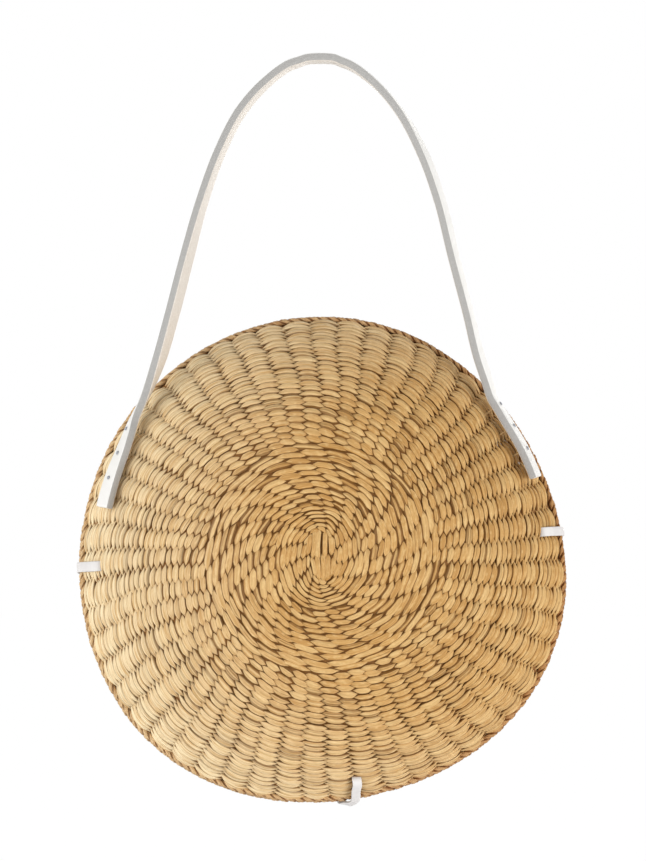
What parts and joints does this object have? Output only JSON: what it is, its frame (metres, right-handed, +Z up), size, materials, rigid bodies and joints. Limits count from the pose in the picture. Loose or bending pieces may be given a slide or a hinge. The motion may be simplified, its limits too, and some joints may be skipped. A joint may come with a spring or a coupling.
{
  "type": "raffia top-handle bag",
  "caption": "Round, domed bag of woven raffia that carries small things by hand: halves laced rim to rim, braided rims and a thick leather strap riveted to the shoulders.",
  "frame": {"origin": "underside of the strap's crown, where a hook or a hand carries the bag, on its level inner face", "axes": "+Z up, from the bag to the crown; -Y is the front face with the riveted strap ends; +X is to the right seen from the front"},
  "size_m": [0.3298, 0.1686, 0.4982],
  "materials": {
    "straw": "woven raffia, golden tan with darker crevices",
    "straw_border": "twisted raffia border, darker than the weave",
    "white_leather": "off-white smooth leather with pale grey painted edges",
    "backing_leather": "undyed flesh side",
    "rivet_metal": "small dark nickel heads"
  },
  "bodies": {
    "strap": {"strap": "white_leather"},
    "front_half": {"front_shell": "straw", "front_rim_braid": "straw_border", "strap_rivet_left_1": "rivet_metal", "strap_rivet_left_2": "rivet_metal", "strap_rivet_left_3": "rivet_metal", "strap_rivet_right_1": "rivet_metal", "strap_rivet_right_2": "rivet_metal", "strap_rivet_right_3": "rivet_metal", "strap_backing_left": "backing_leather", "strap_backing_right": "backing_leather", "side_lace_left": "white_leather", "side_lace_right": "white_leather", "bottom_lace": "white_leather"},
    "back_half": {"back_shell": "straw", "back_rim_braid": "straw_border"}
  },
  "joints": [
    {"name": "strap_swing", "type": "hinge", "parent": "strap", "child": "front_half", "pos_m": [0, -0.01912, -0.21346], "axis": [1, 0, 0], "range_deg": [-30, 30], "stiffness_Nm_per_rad": 1, "springref_deg": 3.84, "deforming": ["strap"]},
    {"name": "mouth_opening", "type": "hinge", "parent": "front_half", "child": "back_half", "pos_m": [0, -0.02102, -0.48469], "axis": [-1, 0, 0], "range_deg": [0, 10], "stiffness_Nm_per_rad": 1.5, "springref_deg": -20.05, "deforming": ["side_lace_left", "side_lace_right", "bottom_lace"]}
  ]
}
